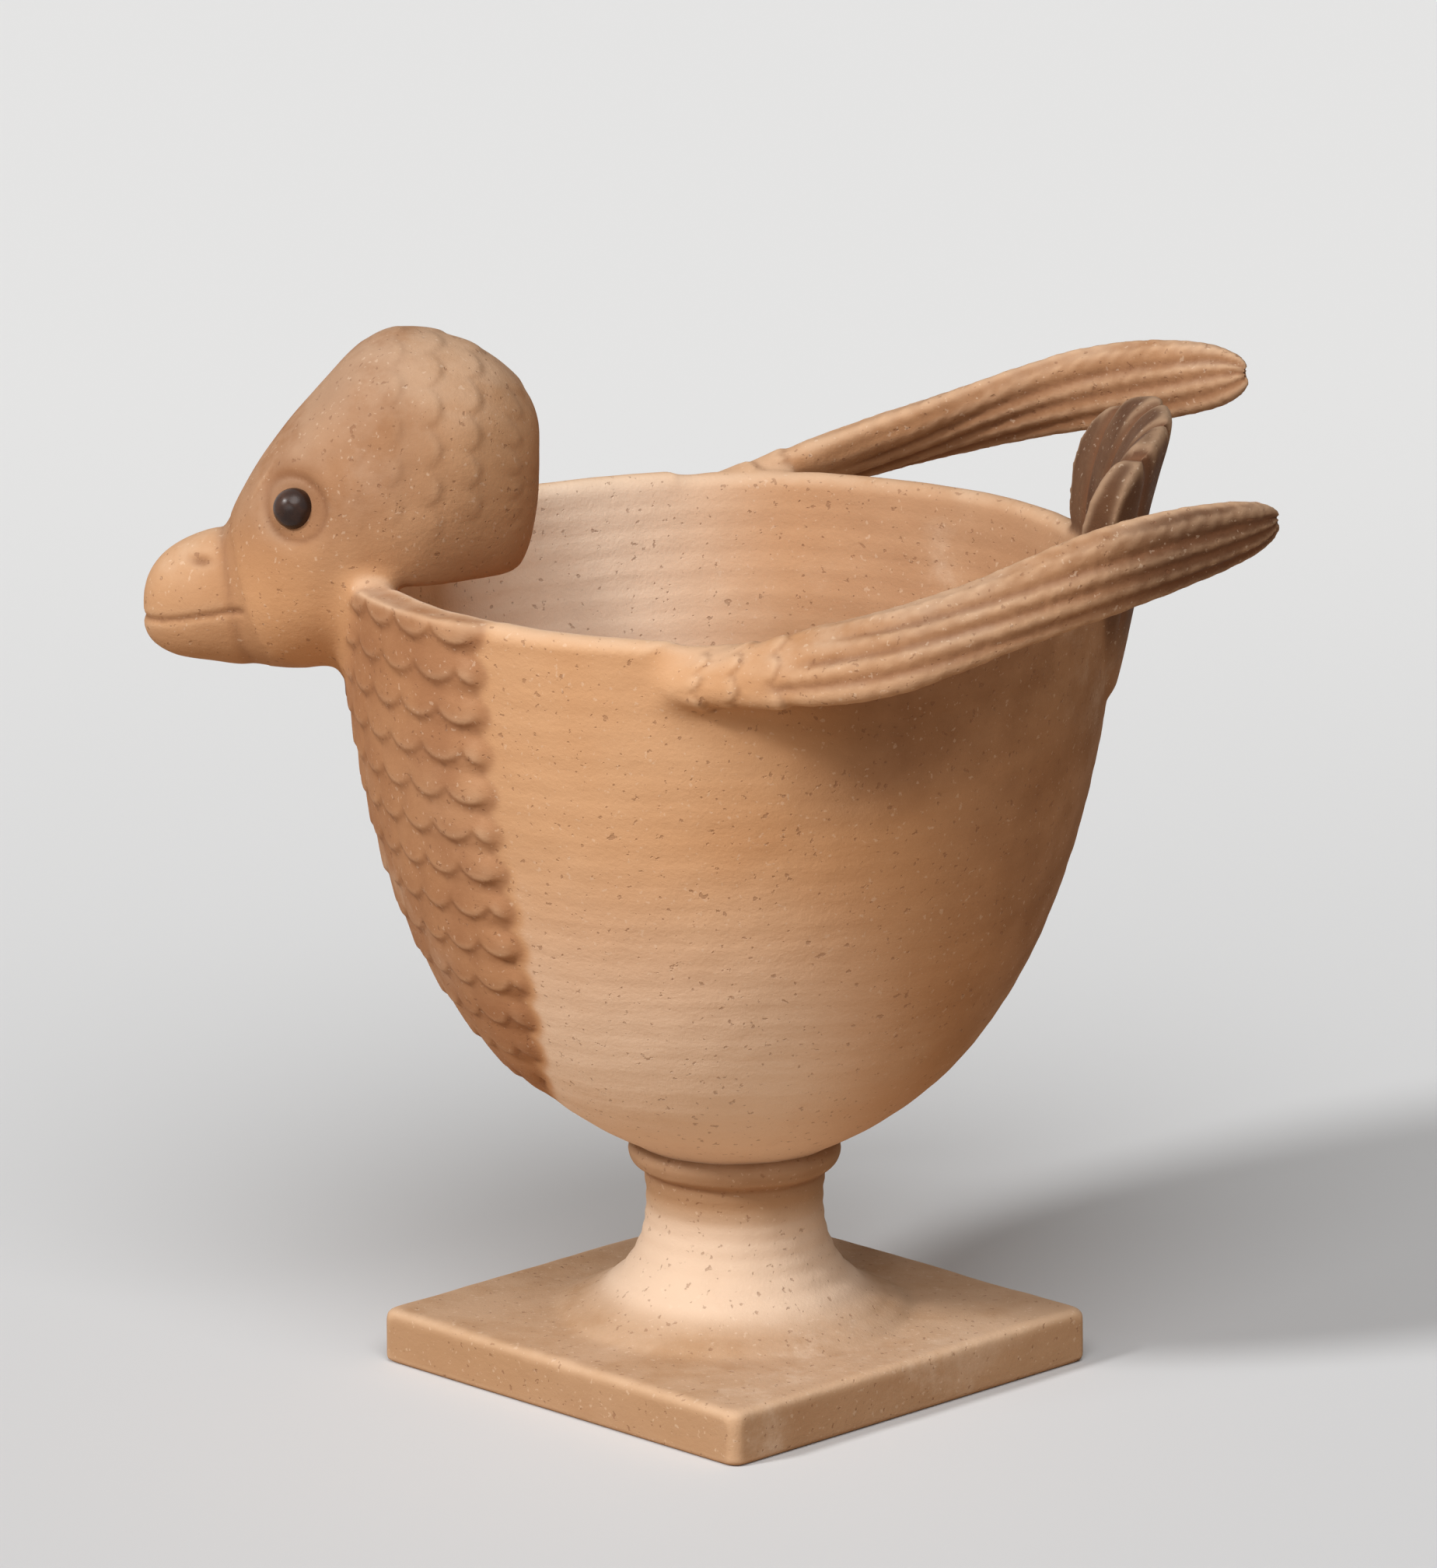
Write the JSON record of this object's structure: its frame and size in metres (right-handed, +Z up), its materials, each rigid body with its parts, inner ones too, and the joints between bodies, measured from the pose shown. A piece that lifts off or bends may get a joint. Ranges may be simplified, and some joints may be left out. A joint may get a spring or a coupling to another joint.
{
  "type": "cachepot",
  "caption": "Bird-shaped terracotta cachepot: an open footed bowl on a square plinth, with a head and beak at one end, swept wings along the sides and an upright tail behind.",
  "frame": {"origin": "On the floor, under the axis of the bowl, at the middle of the plinth's underside.", "axes": "+Z is up along the axis of the bowl, the bird's head looks along -X and its tail stands at +X."},
  "size_m": [0.3016, 0.2594, 0.2852],
  "materials": {
    "body_clay": "matt unglazed",
    "breast_clay": "matt unglazed, textured",
    "plinth_clay": "matt unglazed",
    "dark_clay": "satin"
  },
  "bodies": {
    "root": {"plinth": "plinth_clay", "stem": "body_clay", "collar": "body_clay", "bowl": "body_clay", "breast": "breast_clay", "head": "body_clay", "beak": "body_clay", "eye_far": "dark_clay", "eye_near": "dark_clay", "wing_far": "body_clay", "wing_near": "body_clay", "tail": "body_clay"}
  },
  "joints": []
}
